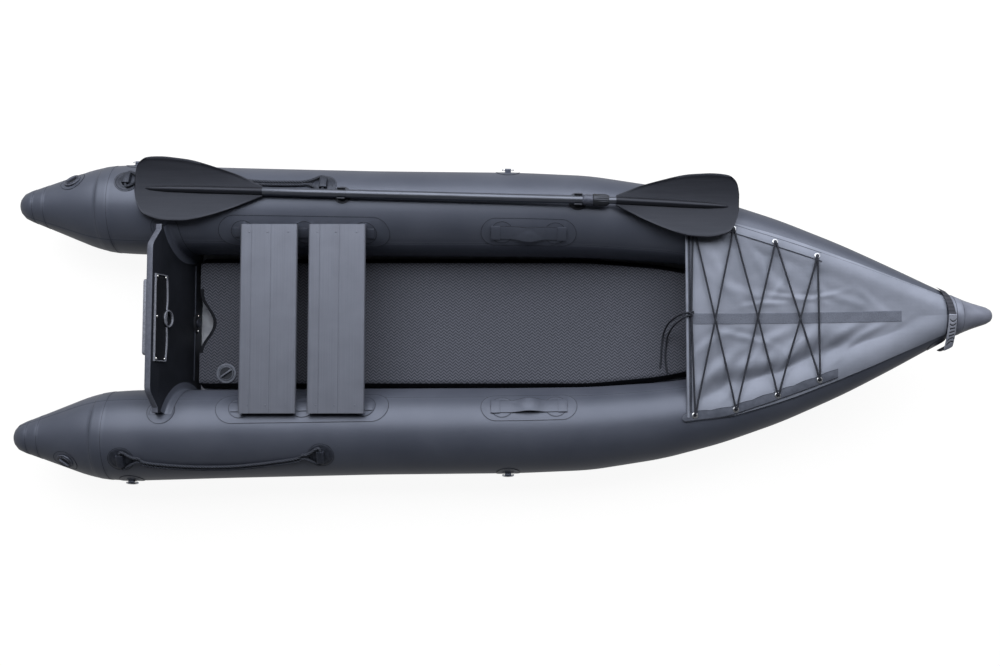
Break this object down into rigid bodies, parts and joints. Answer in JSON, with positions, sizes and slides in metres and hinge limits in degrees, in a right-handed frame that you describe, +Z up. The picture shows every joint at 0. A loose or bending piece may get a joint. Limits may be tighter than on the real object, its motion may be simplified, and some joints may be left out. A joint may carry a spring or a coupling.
{
  "type": "inflatable boat",
  "caption": "Inflatable kayak-style boat with twin tubes meeting at a raised bow, air floor, transom, sliding bench seats, laced spray deck and a paddle in clips",
  "frame": {"origin": "centre of the footprint, on the surface that the hull stands on", "axes": "+X to the bow, +Y to port, +Z up"},
  "size_m": [3.2999, 1.1352, 0.4772],
  "materials": {
    "tube": "satin",
    "bottom": "satin",
    "floor": "matte",
    "board": "satin",
    "pad": "satin",
    "tape": "satin",
    "moulding": "satin",
    "hook": "satin",
    "bench": "satin",
    "ring": "polished",
    "rope": "matte",
    "lace": "matte",
    "valve": "satin",
    "valve_cap": "satin",
    "blade": "satin",
    "shaft": "satin",
    "deck": "matte",
    "hem": "matte",
    "webbing": "matte",
    "grip": "satin"
  },
  "bodies": {
    "hull": {"port_tube": "tube", "starboard_tube": "tube", "port_bow_tube": "tube", "starboard_bow_tube": "tube", "bow_cone": "tube", "hull_bottom": "bottom", "air_floor": "floor", "port_valve_body": "valve", "starboard_valve_body": "valve", "floor_valve_body": "valve", "transom_board": "board", "transom_outer_pad": "pad", "transom_inner_pad": "pad", "drain_flange": "valve", "port_transom_holder": "tape", "starboard_transom_holder": "tape", "port_seat_strap": "tape", "starboard_seat_strap": "tape", "port_carry_handle": "tape", "starboard_carry_handle": "tape", "port_rope_handle": "rope", "starboard_rope_handle": "rope", "port_aft_anchor": "moulding", "port_fore_anchor": "moulding", "starboard_aft_anchor": "moulding", "starboard_fore_anchor": "moulding", "port_aft_ring_patch": "moulding", "port_fore_ring_patch": "moulding", "starboard_aft_ring_patch": "moulding", "starboard_fore_ring_patch": "moulding", "paddle_clip_aft": "moulding", "paddle_clip_fore": "moulding", "spray_deck": "deck", "deck_batten": "hem", "deck_bungee": "lace", "port_bungee_end": "lace", "starboard_bungee_end": "lace", "bow_webbing": "webbing", "bow_grip": "grip"},
    "aft_seat": {"bench_aft": "bench", "port_bench_aft_hook": "hook", "starboard_bench_aft_hook": "hook"},
    "fore_seat": {"bench_fore": "bench", "port_bench_fore_hook": "hook", "starboard_bench_fore_hook": "hook"},
    "paddle": {"paddle_shaft": "shaft", "paddle_aft_blade": "blade", "paddle_fore_blade": "blade"},
    "lock_nut": {"paddle_lock_nut": "blade"},
    "plug": {"drain_plug": "valve_cap"},
    "port_cap": {"port_valve_cap": "valve_cap"},
    "starboard_cap": {"starboard_valve_cap": "valve_cap"},
    "floor_cap": {"floor_valve_cap": "valve_cap"},
    "port_plunger": {"port_valve_plunger": "valve"},
    "starboard_plunger": {"starboard_valve_plunger": "valve"},
    "floor_plunger": {"floor_valve_plunger": "valve"},
    "port_aft_d_ring": {"port_aft_ring": "ring"},
    "port_fore_d_ring": {"port_fore_ring": "ring"},
    "starboard_aft_d_ring": {"starboard_aft_ring": "ring"},
    "starboard_fore_d_ring": {"starboard_fore_ring": "ring"}
  },
  "joints": [
    {"name": "aft_seat_slide", "type": "slide", "parent": "hull", "child": "aft_seat", "axis": [1, 0, 0], "range_m": [-0.015, 0.015]},
    {"name": "fore_seat_slide", "type": "slide", "parent": "hull", "child": "fore_seat", "axis": [1, 0, 0], "range_m": [-0.015, 0.015]},
    {"name": "paddle_lift", "type": "slide", "parent": "hull", "child": "paddle", "axis": [0, 0, 1], "range_m": [0, 0.08]},
    {"name": "lock_nut_turn", "type": "hinge", "parent": "paddle", "child": "lock_nut", "pos_m": [-0.1717, 0.4165, 0.3205], "axis": [0.9997, -0.0259, 0], "range_deg": [0, 90]},
    {"name": "drain_plug_pull", "type": "slide", "parent": "hull", "child": "plug", "axis": [0.9781, 0, 0.2079], "range_m": [0, 0.02]},
    {"name": "port_cap_turn", "type": "hinge", "parent": "hull", "child": "port_cap", "pos_m": [-1.45, 0.48291, 0.25041], "axis": [-0.2831, 0.6782, 0.6782], "range_deg": [0, 90]},
    {"name": "starboard_cap_turn", "type": "hinge", "parent": "hull", "child": "starboard_cap", "pos_m": [-1.45, -0.48291, 0.25041], "axis": [-0.2831, -0.6782, 0.6782], "range_deg": [0, 90]},
    {"name": "floor_cap_turn", "type": "hinge", "parent": "hull", "child": "floor_cap", "pos_m": [-0.9423, -0.18, 0.1005], "axis": [0, 0, 1], "range_deg": [0, 90]},
    {"name": "port_plunger_push", "type": "slide", "parent": "hull", "child": "port_plunger", "axis": [0.2831, -0.6782, -0.6782], "range_m": [0, 0.006], "stiffness_N_per_m": 400},
    {"name": "starboard_plunger_push", "type": "slide", "parent": "hull", "child": "starboard_plunger", "axis": [0.2831, 0.6782, -0.6782], "range_m": [0, 0.006], "stiffness_N_per_m": 400},
    {"name": "floor_plunger_push", "type": "slide", "parent": "hull", "child": "floor_plunger", "axis": [0, 0, -1], "range_m": [0, 0.006], "stiffness_N_per_m": 400},
    {"name": "port_aft_ring_swing", "type": "hinge", "parent": "hull", "child": "port_aft_d_ring", "pos_m": [-1.2377, 0.55848, 0.20089], "axis": [0.9995, -0.028, -0.0162], "range_deg": [0, 130]},
    {"name": "port_fore_ring_swing", "type": "hinge", "parent": "hull", "child": "port_fore_d_ring", "pos_m": [0.0603, 0.53352, 0.18929], "axis": [0.9999, -0.0099, -0.0038], "range_deg": [0, 130]},
    {"name": "starboard_aft_ring_swing", "type": "hinge", "parent": "hull", "child": "starboard_aft_d_ring", "pos_m": [-1.2377, -0.55848, 0.20089], "axis": [-0.9995, -0.028, 0.0162], "range_deg": [0, 130]},
    {"name": "starboard_fore_ring_swing", "type": "hinge", "parent": "hull", "child": "starboard_fore_d_ring", "pos_m": [0.0603, -0.53352, 0.18929], "axis": [-0.9999, -0.0099, 0.0038], "range_deg": [0, 130]}
  ]
}
